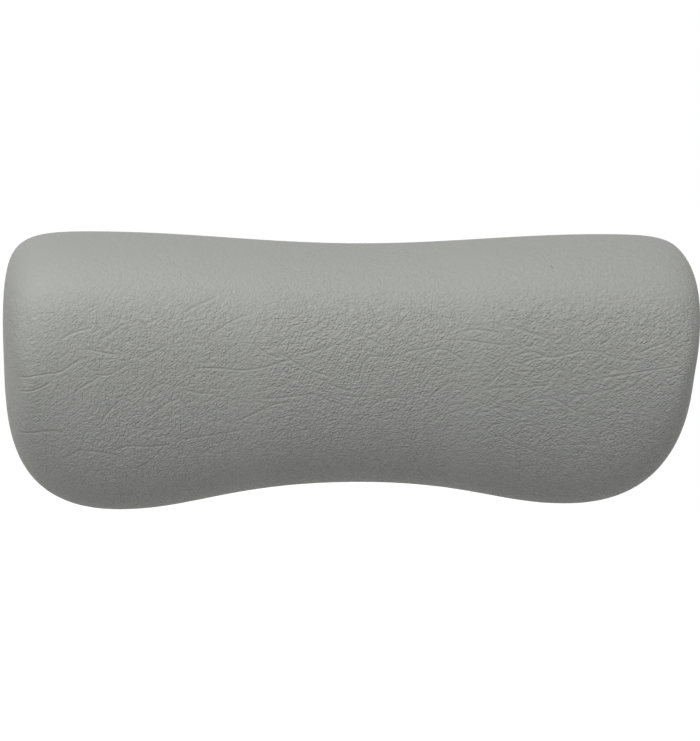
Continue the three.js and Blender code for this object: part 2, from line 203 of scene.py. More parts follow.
class MountSettings(bpy.types.PropertyGroup):
    """Back sheet, snap rings, screws and suction cups"""
    seam_groove: length("Seam groove", "Gap between the skin's border and the back sheet", 0.0004)
    sheet_thickness: length("Sheet thickness", "Thickness of the back sheet", 0.002)
    sheet_round: length("Sheet round", "Round on the back sheet's edges", 0.0004)
    weld_inset: length("Weld inset", "From the sheet's edge to its weld line", 0.0026)
    weld_width: length("Weld width", "Width of the weld line", 0.0018)
    weld_depth: length("Weld depth", "Depth of the weld line", 0.00045)
    throat_radius: length("Throat radius", "Hole in each dish for the cup's head", 0.0105)
    hole_radius: length("Neck hole radius", "Hole in the snap ring", 0.0043)
    slit_width: length("Slit width", "Width of the snap ring's slits", 0.0008)
    slit_length: length("Slit length", "Length of the slits beyond the hole", 0.004)
    screw_circle: length("Screw circle", "Radius of the circle that the screws stand on", 0.0145)
    screw_radius: length("Screw radius", "Outer radius of the thread", 0.00145)
    screw_core: length("Screw core", "Radius at the foot of the thread", 0.00108)
    head_radius: length("Screw head radius", "Radius of the countersunk head", 0.0027)
    head_height: length("Screw head height", "Height of the countersunk head", 0.0016)
    thread_pitch: length("Thread pitch", "Rise of the thread in one turn", 0.0011)
    drive_length: length("Drive length", "Length of the cross recess", 0.003)
    drive_width: length("Drive width", "Width of the cross recess", 0.0007)
    drive_depth: length("Drive depth", "Depth of the cross recess", 0.001)
    cup_radius: length("Cup radius", "Radius of the suction cup", (CUP_HIGH.x - CUP_LOW.x) / 2)
    cup_lip: length("Cup lip", "Thickness of the cup's rim", 0.0013)
    cup_rim: length("Cup rim", "Width of the flat rim that meets the wall", 0.002)
    crown_wall: length("Crown wall", "Thickness of the cup at its middle", 0.0035)
    hub_radius: length("Hub radius", "Collar of the cup against the snap ring", 0.009)
    hub_height: length("Hub height", "Height of the collar", 0.0012)
    neck_radius: length("Neck radius", "Neck of the cup", 0.004)
    mushroom_radius: length("Mushroom radius", "Widest radius of the cup's head", 0.0065)
    mushroom_length: length("Mushroom length", "Length of the cup's head", 0.004)
    tab_width: length("Tab width", "Width of the pull tab", 0.010)
    tab_length: length("Tab length", "How far the pull tab stands out of the rim", 0.009)
    tab_thickness: length("Tab thickness", "Thickness of the pull tab", 0.0011)
    sheet: colour("Sheet colour", "Grey of the back sheet", (0.235, 0.239, 0.225))
    ring: colour("Ring colour", "Grey of the snap rings", (0.102, 0.107, 0.105))
    plate: colour("Plate colour", "Grey of the insert plate", (0.045, 0.048, 0.050))
    gasket: colour("Gasket colour", "Black of the gaskets", (0.023, 0.023, 0.023))
    cup: colour("Cup colour", "Tint of the clear cups", (0.82, 0.88, 0.90))
    steel: colour("Steel colour", "Stainless steel of the screws", (0.56, 0.57, 0.57))


class StageSettings(bpy.types.PropertyGroup):
    """Camera, lights and floor"""
    azimuth: bearing("Azimuth", "Turn of the camera to the right of the front", -7.5)
    elevation: bearing("Elevation", "How far the camera looks down", 20)
    roll: bearing("Roll", "Tilt of the camera about its own axis", 2.35)
    distance: length("Distance", "From the camera to the point that it looks at", 0.825)
    focal_length: FloatProperty(name="Focal length", description="Of a lens on a 36 mm sensor",
                                default=87.45, subtype="DISTANCE_CAMERA")
    floor_drop: length("Floor drop", "From the pillow's lowest point to the floor below it", 0.34)
    floor_radius: length("Floor radius", "Radius of the round floor", 0.8)
    floor_grey: share("Floor grey", "How light the floor is under the lights", 0.34)
    floor_glow: share("Floor glow", "Light that the floor adds where it is seen", 0.78)
    key_azimuth: bearing("Key azimuth", "Turn of the key light to the right of the front", -31)
    key_elevation: bearing("Key elevation", "Height of the key light", 52)
    key_distance: length("Key distance", "From the key light to the pillow", 2.2)
    key_size: length("Key size", "Width of the soft box", 1.0)
    key_power: FloatProperty(name="Key power", description="Power of the key light", default=45.0,
                             unit="POWER")
    fill_strength: share("Fill strength", "Even light from all round", 0.5)


class PillowSettings(bpy.types.PropertyGroup):
    """All of the pillow's settings"""
    form: PointerProperty(type=FormSettings)
    skin: PointerProperty(type=SkinSettings)
    mount: PointerProperty(type=MountSettings)
    stage: PointerProperty(type=StageSettings)


def settings():
    """The pillow's settings in the current scene."""
    return bpy.context.scene.bath_pillow


# Meshes

def add_lattice(bm, rings):
    """Adds a grid whose rows are closed rings, given as (rows, columns + 1, 3) places."""
    rows, columns = rings.shape[:2]
    grid = bmesh.ops.create_grid(bm, x_segments=columns - 1, y_segments=rows - 1, size=1)["verts"]
    for vert in grid:
        column = round((vert.co.x + 1) / 2 * (columns - 1))
        row = round((vert.co.y + 1) / 2 * (rows - 1))
        vert.co = rings[row, column]
    bmesh.ops.remove_doubles(bm, verts=grid, dist=MERGE_DISTANCE)


def cap_plane(bm, plane):
    """Fills what the open edges at one depth enclose, with holes where rings lie inside rings."""
    edges = [edge for edge in bm.edges
             if edge.is_boundary and all(abs(vert.co.y - plane) < PLANE_TOLERANCE for vert in edge.verts)]
    bmesh.ops.triangle_fill(bm, use_beauty=True, use_dissolve=False, edges=edges, normal=(0, 1, 0))


def finish_piece(bm, name, material, sharp_angle=SHARP_ANGLE):
    """Turns the faces outwards, makes an object of them and shades it."""
    bmesh.ops.recalc_face_normals(bm, faces=bm.faces)
    mesh = bpy.data.meshes.new(name)
    bm.to_mesh(mesh)
    bm.free()
    mesh.shade_smooth()
    mesh.set_sharp_from_angle(angle=sharp_angle)
    mesh.materials.append(material)
    piece = bpy.data.objects.new(name, mesh)
    bpy.context.scene.collection.objects.link(piece)
    return piece


def circle_rings(stations, columns, centre=(0.0, 0.0)):
    """Closed rings about the depth axis, one for each (radius, depth) station."""
    turns = np.linspace(0, 2 * math.pi, columns + 1)
    radii = np.array([radius for radius, _ in stations])[:, None]
    depths = np.array([depth for _, depth in stations])[:, None]
    across = centre[0] + radii * np.cos(turns)
    up = centre[1] + radii * np.sin(turns)
    return np.stack([across, np.broadcast_to(depths, across.shape), up], axis=-1)


def rounded_corner(start, corner, end):
    """Stations of a round that leaves `start` and ends at `end`, with its handles on the corner."""
    points = []
    for i in range(CORNER_STEPS + 1):
        along = i / CORNER_STEPS
        weights = ((1 - along) ** 2, 2 * along * (1 - along), along ** 2)
        points.append(tuple(sum(w * p[k] for w, p in zip(weights, (start, corner, end))) for k in (0, 1)))
    return points


def wall_stations(radius, near, far, near_flare, far_flare):
    """A round wall between two faces that it rounds off into, outwards where a flare is positive."""
    inwards = math.copysign(1, far - near)
    near_end = (radius, near + inwards * abs(near_flare))
    far_end = (radius, far - inwards * abs(far_flare))
    return (rounded_corner((radius + near_flare, near), (radius, near), near_end)
            + rounded_corner(far_end, (radius, far), (radius + far_flare, far)))


def screw_places(mount, centre):
    """(x, z) places of the screws round a cup's axis."""
    turns = [math.pi / SCREW_COUNT + 2 * math.pi * i / SCREW_COUNT for i in range(SCREW_COUNT)]
    return [(centre[0] + mount.screw_circle * math.cos(turn), centre[1] + mount.screw_circle * math.sin(turn))
            for turn in turns]


def turned_place(x, z, turn):
    """A place turned about the origin."""
    return x * math.cos(turn) - z * math.sin(turn), x * math.sin(turn) + z * math.cos(turn)


def carve(piece, cutter):
    """Cuts a piece by another one, which is used up."""
    modifier = piece.modifiers.new("carve", "BOOLEAN")
    modifier.operation, modifier.solver, modifier.use_self = "DIFFERENCE", "EXACT", True
    modifier.object = cutter
    evaluated = piece.evaluated_get(bpy.context.evaluated_depsgraph_get())
    mesh = bpy.data.meshes.new_from_object(evaluated)
    piece.modifiers.clear()
    piece.data = mesh
    bpy.data.objects.remove(cutter)


# The pillow's form. Columns run from the right end over the top to the left end and back underneath.

def bezier(start, start_handle, end_handle, end, along):
    """Places on a cubic curve."""
    along = along[:, None]
    rest = 1 - along
    return (rest ** 3 * np.array(start) + 3 * rest ** 2 * along * np.array(start_handle)
            + 3 * rest * along ** 2 * np.array(end_handle) + along ** 3 * np.array(end))


def half_outline(form, from_right, upper, inset):
    """(x, z) places on the upper or lower outline, `inset` in from the widest contour."""
    if upper:
        lobe = (form.top_lobe_reach, form.lobe_rise - inset)
        middle = (0.0, form.waist_rise - inset)
        corner, waist = TOP_CORNER_SHARES, TOP_WAIST_SHARES
    else:
        lobe = (form.bottom_lobe_reach, inset - form.lobe_drop)
        middle = (0.0, inset - form.waist_drop)
        corner, waist = BOTTOM_CORNER_SHARES, BOTTOM_WAIST_SHARES
    end = (form.pillow_length / 2 - inset, form.end_rise)
    quarter = 2 * np.minimum(from_right, 1 - from_right)
    on_corner = bezier(end, (end[0], end[1] + corner["end"] * (lobe[1] - end[1])),
                       (lobe[0] + corner["lobe"] * (end[0] - lobe[0]), lobe[1]), lobe,
                       np.minimum(quarter / CORNER_SHARE, 1))
    on_waist = bezier(lobe, (lobe[0] * (1 - waist["lobe"]), lobe[1]), (lobe[0] * waist["middle"], middle[1]),
                      middle, np.maximum((quarter - CORNER_SHARE) / (1 - CORNER_SHARE), 0))
    places = np.where((quarter <= CORNER_SHARE)[:, None], on_corner, on_waist)
    places[:, 0] *= np.where(from_right > 0.5, -1, 1)
    return places


def even_columns(form, count):
    """Shares of the way from the right end, and which columns are upper ones, at an even spacing."""
    fine = np.linspace(0, 1, OUTLINE_SAMPLES)
    steps = sum(np.linalg.norm(np.diff(half_outline(form, fine, upper, 0.0), axis=0), axis=1)
                for upper in (True, False))
    travelled = np.concatenate([[0], np.cumsum(steps)])
    half = np.interp(np.linspace(0, travelled[-1], count // 2 + 1), travelled, fine)
    half[0], half[-1] = 0, 1
    from_right = np.concatenate([half, half[-2::-1]])
    upper = np.arange(count + 1) <= count // 2
    return from_right, upper


def outline(form, columns, inset):
    """(x, z) places on the whole outline."""
    from_right, upper = columns
    top = half_outline(form, from_right, True, inset)
    bottom = half_outline(form, from_right, False, inset)
    return np.where(upper[:, None], top, bottom)


def crown_places(form, columns):
    """(x, z) places on the crown line, one for each column."""
    from_right, _ = columns
    ends = half_outline(form, from_right, True, 0.0) + half_outline(form, from_right, False, 0.0)
    return np.stack([form.crown_share * ends[:, 0] / 2, np.full(len(ends), form.crown_rise)], axis=1)


def depth_at_crown(form, crown):
    """Depth of the pillow at each place of its crown line."""
    away = crown[:, 0] / (form.crown_share * form.pillow_length / 2)
    return form.middle_depth + (form.end_depth - form.middle_depth) * away ** 2


def placed(across, depth):
    """Places from (x, z) and the depth in front of the back plane."""
    depth = np.broadcast_to(depth, across.shape[:-1])
    return np.stack([across[..., 0], BACK_PLANE - depth, across[..., 1]], axis=-1)


def front_section(form, columns, layer):
    """Closely spaced stations from the crown line to the widest contour, `layer` inside the skin."""
    turns = np.linspace(math.pi / 2, 0, SECTION_SAMPLES)[:, None]
    crown = crown_places(form, columns)
    out = outline(form, columns, layer) - crown
    lift = (1 + out[:, 1] / np.linalg.norm(out, axis=1)) / 2
    exponent = form.bottom_exponent + (form.top_exponent - form.bottom_exponent) * lift
    reach = np.maximum(np.cos(turns), 0) ** (2 / exponent)
    bulge = np.sin(turns) ** (2 / exponent)
    depth = form.edge_radius + (depth_at_crown(form, crown) - layer - form.edge_radius) * bulge
    return placed(crown + out * reach[..., None], depth)


def edge_section(form, columns, layer, back_layer, rows):
    """Stations of the round from the widest contour to the back."""
    stations = []
    for turn in np.linspace(0, math.pi / 2, rows + 1):
        inset = form.edge_radius - (form.edge_radius - layer) * math.cos(turn)
        depth = form.edge_radius - (form.edge_radius - back_layer) * math.sin(turn)
        stations.append(placed(outline(form, columns, inset), depth))
    return np.array(stations)


def even_rows(section, rows):
    """The same section with its stations at an even spacing in each column."""
    steps = np.linalg.norm(np.diff(section, axis=0), axis=-1)
    travelled = np.concatenate([np.zeros((1, steps.shape[1])), np.cumsum(steps, axis=0)])
    spaced = np.empty((rows + 1, section.shape[1], 3))
    for column in range(section.shape[1]):
        wanted = np.linspace(0, travelled[-1, column], rows + 1)
        for axis in range(3):
            spaced[:, column, axis] = np.interp(wanted, travelled[:, column], section[:, column, axis])
    return spaced


def flat_section(form, columns, insets_and_depths):
    """Stations on the back, each at its own inset and depth."""
    return np.array([placed(outline(form, columns, inset), depth) for inset, depth in insets_and_depths])


# Grain of the skin

# The grain runs up to the right at the left end, nearly level in the middle and down to the right at
# the right end. Each run is centred at a share of the half length and has a share of the fine grain's
# depth and three angles in degrees: the first is that of its cells and creases, the second that of its
# pebbles, and its families of wrinkles cross each other at all three.
GRAIN_RUNS = ((-0.62, 1.0, (36, -14, 88)), (0.0, 1.2, (12, -30, 64)), (0.62, 1.3, (-16, -62, 36)))
GRAIN_BLEND_SHARE = 0.22
RUN_WAVER, RUN_WAVER_SCALE = 0.12, 30

# The finest grain is bump: grooves round small cells, stretched along the run, and families of short
# wrinkles, each with its shares of the wrinkles' size and depth. The levels are how far from a groove's
# middle its sides reach, and GROOVE_SHARE is the part of its depth that lies under the smooth form.
FAMILIES = ((1.0, 0.9), (1.1, 0.9), (1.21, 1.5))
CELL_STRETCH = 2.5
CELL_LEVEL = 0.25
WRINKLE_STRETCH = 3.4
WRINKLE_LEVEL = 0.175
WARP, WARP_SCALE = 0.5, 0.8
GROOVE_SHARE = 0.65

# Pebbles and creases are geometry. The creases that noise places run at three turns from their run's
# angle; each fades out where its noise is low, or too flat to tell how far away its middle is.
PEBBLE_STRETCH = 1.5
PEBBLE_LEVEL = 0.24
CREASE_STRETCH = 4.5
CREASE_WARP, CREASE_WARP_SCALE = 0.5, 1.2
CREASE_TURNS = (0.0, math.radians(45), math.radians(-58))
CREASE_OFFSET = 11.3
CREASE_PROBE = 0.02
CREASE_FADE_SPAN, CREASE_FADE_SCALE = (-0.12, 0.2), 1.7
CREASE_RISE_SPAN = (0.3, 0.7)
FREE_CREASE_SHARE = 0.25

# A placed crease is smoothed by cutting its corners, wobbles by up to a share of a millimetre, and gets
# shallower at its ends. The wrinkles beside it have a share of their depth, up to a number of its widths.
CORNER_CUTS, CUT_SHARE = 3, 0.25
WOBBLE, WOBBLE_SCALE, WOBBLE_OFFSET = 0.2, 450, 9
CREASE_TAPER_SHARE, CREASE_END_SHARE = 0.15, 0.4
CALM_SHARE, CALM_REACH = 0.5, 1.8
PORE_DEPTH_SHARE = 3.0

# Where the depth of all but the placed creases changes: along x (0) or z (2), the share of its depth on
# the front that it changes to, and from which place to which. These are the upper shoulder, the
# underside and the left end.
DEPTH_CHANGES = ((2, 0.42, 0.038, 0.054), (2, 1.25, 0.015, -0.035), (0, 0.75, -0.105, -0.140))

# The share of the edge's radius that the grain stops at before the back plane
GRAIN_STOP_SHARE = 0.1

# Places in mm, as (x, z), that the most prominent creases run through, and two pores
CREASES = (
    ((60.9, 21.9), (68.0, 23.7), (73.0, 25.5), (77.0, 25.5), (81.8, 22.8), (88.1, 23.2), (98.9, 26.5),
     (106.3, 25.5), (112.0, 23.2), (116.7, 21.8), (125.0, 21.4)),
    ((103.1, 8.9), (107.3, 13.3), (116.4, 14.2), (125.5, 16.1), (132.3, 17.1), (138.3, 18.1),
     (143.8, 19.0)),
    ((93.0, 39.6), (95.4, 34.1), (97.9, 28.7), (101.1, 20.9), (104.8, 14.7), (107.3, 12.8)),
    ((86.7, 38.8), (91.3, 34.1), (94.8, 26.5)),
    ((58.6, 38.7), (62.7, 34.4), (67.3, 30.0), (71.1, 26.0)),
    ((42.8, 34.4), (49.1, 35.7), (55.9, 34.8), (60.9, 33.6)),
    ((42.9, 30.9), (51.5, 30.0), (62.8, 28.3)),
    ((60.4, 37.4), (67.2, 36.2), (74.0, 34.4), (80.9, 31.8), (84.1, 30.5)),
    ((70.1, 19.5), (74.5, 21.8), (81.3, 23.2)),
    ((53.5, 9.0), (57.9, 11.4), (62.1, 16.2), (65.1, 19.0)),
    ((71.6, 0.5), (78.3, 2.5), (85.2, 3.5), (90.0, 1.5), (93.9, -1.1), (98.9, -3.7)),
    ((117.2, 6.4), (123.9, 9.3), (126.7, 13.2), (132.4, 16.1)),
    ((96.5, 4.9), (103.4, 5.4), (112.5, 7.4)),
    ((126.2, 9.3), (129.2, 3.3), (131.6, -0.8)),
    ((64.2, -16.4), (69.2, -19.1), (76.6, -22.5), (82.1, -25.4)),
    ((105.5, -12.1), (109.7, -18.7), (114.0, -27.3), (119.2, -32.2)),
    ((110.1, 33.6), (111.6, 28.7), (114.3, 23.2)),
    ((124.8, 25.1), (129.2, 27.4), (134.2, 28.7)),
    ((106.2, 28.3), (111.5, 31.9)),
    ((88.8, 19.5), (91.6, 13.8), (93.3, 9.4)),
    ((54.6, 7.5), (61.8, 8.5), (72.3, 8.5), (84.6, 9.9)),
    ((-75.7, 18.2), (-63.9, 18.6), (-55.6, 17.2), (-50.8, 17.6), (-45.5, 18.5), (-41.1, 19.9),
     (-36.7, 21.2), (-32.3, 22.1)),
    ((-38.6, 25.8), (-32.3, 21.7), (-28.7, 19.3), (-23.3, 16.5), (-19.7, 15.6), (-14.8, 14.6)),
    ((-23.4, 21.2), (-19.1, 25.7), (-14.3, 28.8)),
    ((-45.1, 3.7), (-37.1, 4.1), (-28.3, 5.0), (-21.2, 6.0)),
    ((-10.4, 5.4), (-3.6, 4.4), (3.6, 4.3)),
    ((-2.2, 12.6), (-1.5, 17.4), (-0.3, 21.1), (2.7, 23.8), (6.8, 23.3)),
    ((24.7, 23.8), (30.0, 26.5), (35.8, 26.9), (40.8, 24.2), (45.5, 21.0)),
    ((31.7, 43.4), (34.3, 36.9), (36.5, 34.8)),
    ((-28.8, 24.4), (-22.2, 25.7), (-17.4, 28.3)),
    ((-5.9, 34.4), (1.2, 31.8), (7.1, 28.7)),
    ((-54.6, -6.8), (-46.7, -2.8), (-39.3, 1.2), (-32.2, 2.1)),
    ((-49.2, 29.8), (-43.8, 24.9), (-38.1, 23.1)),
    ((-15.1, 10.3), (-8.3, 7.8), (-3.3, 6.8)),
    ((-20.2, 5.0), (-13.8, 1.9), (-7.4, -0.1)),
    ((3.5, -1.3), (7.7, 2.8), (17.1, 4.2)),
    ((15.7, 23.8), (21.0, 26.5), (27.2, 26.9)),
    ((30.3, 3.7), (34.5, 8.6), (41.5, 12.4)),
    ((-122.4, 27.5), (-116.0, 26.2), (-109.1, 24.8)),
    ((-150.6, 13.9), (-141.8, 16.0), (-133.3, 16.8), (-129.8, 19.5), (-124.2, 23.1)),
    ((-118.2, 15.8), (-111.8, 15.3), (-108.3, 18.0), (-103.5, 20.3)),
    ((-150.8, 7.0), (-142.9, 8.9), (-137.2, 12.7)),
    ((-132.0, -26.5), (-126.2, -21.8), (-120.9, -22.3), (-114.3, -23.4), (-108.1, -25.1)),
    ((-111.2, -22.8), (-105.4, -19.6), (-96.6, -20.3), (-85.5, -19.5)),
    ((-80.2, -16.9), (-72.2, -15.4), (-63.3, -14.0), (-54.0, -12.1)),
    ((-103.3, -33.2), (-96.6, -30.4), (-91.2, -24.8), (-87.7, -19.4)),
    ((-96.6, -6.2), (-90.9, -1.2), (-86.6, 2.2), (-80.9, 4.5)),
    ((-116.3, -8.5), (-112.8, -2.0), (-108.0, 2.9)),
    ((-79.2, 8.4), (-72.6, 6.4), (-66.0, 6.3)),
    ((-127.0, 7.9), (-121.3, 11.6), (-115.7, 15.3)),
    ((-116.0, 31.4), (-110.8, 34.8), (-106.1, 37.7)),
    ((-98.8, 22.5), (-92.3, 26.0), (-87.5, 29.1)),
    ((-133.1, 31.5), (-126.6, 34.9), (-119.8, 36.5)),
    ((-72.4, -6.5), (-76.8, -3.9), (-79.5, 1.1), (-81.3, 5.5)),
    ((-151.8, -15.4), (-138.2, -11.3), (-132.6, -12.7)),
    ((-79.3, 42.9), (-72.7, 46.0), (-65.7, 48.6)),
    ((-66.2, 34.6), (-59.7, 38.7), (-52.7, 41.5)),
)
PORES = ((86.3, 59.6), (29.8, 41.4))


def soft_step(low, high, values):
    """0 below low, 1 above high, with a soft ramp between them."""
    along = np.clip((values - low) / (high - low), 0, 1)
    return along * along * (3 - 2 * along)


def noise_at(places):
    """Smooth noise between -1 and 1 at each place."""
    return np.array([noise.noise(place) for place in places.tolist()])


def along_run(places, angle, run_size, cross_size):
    """Places in a frame turned about the depth axis, in units of the pattern's own sizes."""
    cosine, sine = math.cos(angle), math.sin(angle)
    x, y, z = places.T
    run, cross = x * cosine + z * sine, z * cosine - x * sine
    return np.stack([run / run_size, y / cross_size, cross / cross_size], axis=1)


def pebble_heights(places, angle, size):
    """0 in the winding grooves and 1 on top of the pebbles."""
    return soft_step(0, PEBBLE_LEVEL, np.abs(noise_at(along_run(places, angle, size * PEBBLE_STRETCH, size))))


def crease_lines(places, angle, skin, offset):
    """1 along the middle of the creases that run at an angle, and 0 away from them."""
    spacing = skin.crease_spacing
    cells = along_run(places, angle, spacing * CREASE_STRETCH, spacing) + offset
    fade = soft_step(*CREASE_FADE_SPAN, noise_at(cells * CREASE_FADE_SCALE))
    cells[:, 2] += CREASE_WARP * noise_at(cells * CREASE_WARP_SCALE)
    level = noise_at(cells)
    rise = np.abs(noise_at(cells + (0, 0, CREASE_PROBE)) - level) / CREASE_PROBE
    away = np.abs(level) * spacing / np.maximum(rise, CREASE_RISE_SPAN[0])
    return fade * soft_step(*CREASE_RISE_SPAN, rise) * (1 - soft_step(0, skin.crease_width, away))


def smooth_line(points):
    """A line through points, with its corners cut."""
    line = np.array(points)
    for _ in range(CORNER_CUTS):
        near = (1 - CUT_SHARE) * line[:-1] + CUT_SHARE * line[1:]
        far = CUT_SHARE * line[:-1] + (1 - CUT_SHARE) * line[1:]
        line = np.concatenate([line[:1], np.stack([near, far], axis=1).reshape(-1, 2), line[-1:]])
    return line


def nearest_on(line, places):
    """How far each place is from a line, and the share of the line that lies before its nearest point."""
    step = np.diff(line, axis=0)
    from_start = places[:, None] - line[None, :-1]
    along = np.clip((from_start * step).sum(axis=-1) / (step ** 2).sum(axis=-1), 0, 1)
    gaps = np.linalg.norm(from_start - along[..., None] * step, axis=-1)
    closest, rows = gaps.argmin(axis=1), np.arange(len(places))
    return gaps[rows, closest], (closest + along[rows, closest]) / len(step)


def placed_creases(places, skin):
    """How deep the placed creases are, as a share of their depth, and how near each place is to one."""
    rough = places * WOBBLE_SCALE
    wobble = np.stack([noise_at(rough), noise_at(rough + WOBBLE_OFFSET)], axis=1)
    across = places[:, (0, 2)] / MM + WOBBLE * wobble
    reach = skin.crease_width / MM
    calm_reach = CALM_REACH * reach
    deepest, nearness = np.zeros((2, len(places)))
    for crease in CREASES:
        line = smooth_line(crease)
        inside = (across > line.min(axis=0) - calm_reach) & (across < line.max(axis=0) + calm_reach)
        near = np.nonzero(np.all(inside, axis=1))[0]
        gap, way = nearest_on(line, across[near])
        taper = soft_step(0, CREASE_TAPER_SHARE, np.minimum(way, 1 - way))
        strength = CREASE_END_SHARE + (1 - CREASE_END_SHARE) * taper
        deepest[near] = np.maximum(deepest[near], strength * (1 - soft_step(0, reach, gap)))
        nearness[near] = np.maximum(nearness[near], strength * (1 - soft_step(reach, calm_reach, gap)))
    for pore in PORES:
        away = np.linalg.norm(across - pore, axis=1)
        deepest = np.maximum(deepest, PORE_DEPTH_SHARE * (1 - soft_step(0, reach, away)))
    return deepest, nearness


def run_weights(places, half_length):
    """How much each run of the grain counts at each place."""
    along = places[:, 0] / half_length + RUN_WAVER * noise_at(places * RUN_WAVER_SCALE)
    reach = GRAIN_BLEND_SHARE / 2
    borders = [(before[0] + after[0]) / 2 for before, after in zip(GRAIN_RUNS, GRAIN_RUNS[1:])]
    passed = [soft_step(border - reach, border + reach, along) for border in borders]
    return 1 - passed[0], passed[0] - passed[1], passed[1]


def depth_shares(places):
    """How deep the grain is at each place, as a share of its depth on the front."""
    shares = np.ones(len(places))
    for axis, depth_share, start, end in DEPTH_CHANGES:
        shares *= 1 + (depth_share - 1) * soft_step(start, end, places[:, axis])
    return shares


def grain_heights(places, skin, half_length):
    """How far the grain lies above the smooth skin, in metres, and the wrinkles' share of their depth."""
    heights = np.zeros(len(places))
    for weights, (_, _, angles) in zip(run_weights(places, half_length), GRAIN_RUNS):
        used = np.nonzero(weights > 0)[0]
        there, angle = places[used], math.radians(angles[0])
        pebbles = pebble_heights(there, math.radians(angles[1]), skin.pebble_size)
        creases = np.max([crease_lines(there, angle + turn, skin, CREASE_OFFSET * i)
                          for i, turn in enumerate(CREASE_TURNS)], axis=0)
        creases *= FREE_CREASE_SHARE * skin.crease_depth
        heights[used] += weights[used] * ((pebbles - 0.5) * skin.pebble_depth - creases)
    creases, nearness = placed_creases(places, skin)
    return heights * depth_shares(places) - skin.crease_depth * creases, 1 + (CALM_SHARE - 1) * nearness


# Nodes of the materials

def add_node(tree, kind, inputs=None, **options):
    """A new node; an input is a value, or a socket that is linked to it."""
    node = tree.nodes.new(kind)
    for name, value in options.items():
        setattr(node, name, value)
    for key, value in (inputs or {}).items():
        if isinstance(value, bpy.types.NodeSocket):
            tree.links.new(value, node.inputs[key])
        else:
            node.inputs[key].default_value = value
    return node


def calculate(tree, operation, *values):
    """The result of a math node."""
    return add_node(tree, "ShaderNodeMath", dict(enumerate(values)), operation=operation).outputs[0]


def ramp(tree, value, low, high, start=0.0, end=1.0):
    """A soft ramp of a value from one range to another."""
    inputs = {"Value": value, "From Min": low, "From Max": high, "To Min": start, "To Max": end}
    return add_node(tree, "ShaderNodeMapRange", inputs, interpolation_type="SMOOTHSTEP").outputs["Result"]


def blended(tree, factor, first, second):
    """A mix of two values."""
    return add_node(tree, "ShaderNodeMix", {"Factor": factor, "A": first, "B": second}).outputs["Result"]


def noise_level(tree, place, scale, detail=0.0):
    """Smooth noise, mostly between 0.3 and 0.7."""
    inputs = {"Vector": place, "Scale": scale, "Detail": detail}
    return add_node(tree, "ShaderNodeTexNoise", inputs).outputs["Fac"]


def cell_edges(tree, place, scale):
    """How far each place is from the edge of its cell."""
    inputs = {"Vector": place, "Scale": scale}
    return add_node(tree, "ShaderNodeTexVoronoi", inputs, feature="DISTANCE_TO_EDGE").outputs["Distance"]


def stored(tree, name):
    """The value that the mesh holds under a name."""
    return add_node(tree, "ShaderNodeAttribute", attribute_name=name).outputs["Fac"]


def new_material(name, base, roughness, metallic=0.0):
    """A material, its node tree, its shader and the place on the object."""
    material = bpy.data.materials.new(name)
    material.use_nodes = True
    tree = material.node_tree
    shader = tree.nodes["Principled BSDF"]
    shader.inputs["Base Color"].default_value = (*base, 1)
    shader.inputs["Roughness"].default_value = roughness
    shader.inputs["Metallic"].default_value = metallic
    return material, tree, shader, add_node(tree, "ShaderNodeTexCoord").outputs["Object"]


def emboss_shader(tree, shader, height, distance):
    """Bumps a shader by a height, in units of a distance."""
    bump = add_node(tree, "ShaderNodeBump", {"Height": height, "Distance": distance})
    tree.links.new(bump.outputs["Normal"], shader.inputs["Normal"])


def tone_shader(tree, shader, factor, first, second):
    """Colours a shader between two tones."""
    inputs = {"Factor": factor, 6: (*first, 1), 7: (*second, 1)}
    tone = add_node(tree, "ShaderNodeMix", inputs, data_type="RGBA")
    tree.links.new(tone.outputs[2], shader.inputs["Base Color"])


def roughen_shader(tree, shader, level, low, high):
    """Gives a shader a roughness that goes from low to high with a noise level."""
    tree.links.new(ramp(tree, level, *NOISE_SPAN, low, high), shader.inputs["Roughness"])


def seen_ray(tree):
    """1 for rays from the camera and for those that gloss or glass sends on, and 0 for light."""
    rays = add_node(tree, "ShaderNodeLightPath").outputs
    seen = calculate(tree, "MAXIMUM", rays["Is Camera Ray"], rays["Is Glossy Ray"])
    return calculate(tree, "MAXIMUM", seen, rays["Is Transmission Ray"])


# Materials

# The span that a noise level's roughness follows
NOISE_SPAN = (0.3, 0.7)

SKIN_ROUGHNESS = 0.6
SKIN_SPECULAR = 0.5
# Heights of the grain, in creases' depths, over which the painted shade of the grooves fades into the skin's
# grey
GROOVE_SHADE_SPAN = (-1.0, 0.2)

# Roughness of the moulded materials, and the size and height of their fine texture
MOULDED = {
    "panel_vinyl": (0.62, 0.0007, 0.00006),
    "insert_nylon": (0.55, 0.0008, 0.00003),
    "gasket_rubber": (0.8, 0.0004, 0.00002),
    "ring_nylon": (0.42, 0.0009, 0.00002),
}
MOULDED_DETAIL = 3.0
UNEVEN_SCALE, UNEVEN_DETAIL = 60.0, 2.0
UNEVEN_ROUGHNESS = 0.06
UNEVEN_TONES = (0.92, 1.06)

FOAM_ROUGHNESS = 0.95
FOAM_CELL_SCALE = 1600.0
FOAM_WALL_SHARE = 0.3
FOAM_RELIEF = 0.0003
STEEL_ROUGHNESS = (0.18, 0.34)
SCRATCH_SCALE, SCRATCH_DETAIL = 3000.0, 2.0
CUP_CLEARNESS, CUP_IOR = 0.9, 1.5
CUP_ROUGHNESS = (0.07, 0.2)
HAZE_SCALE, HAZE_DETAIL = 250.0, 3.0
HAZE_SPAN = (0.35, 0.65)


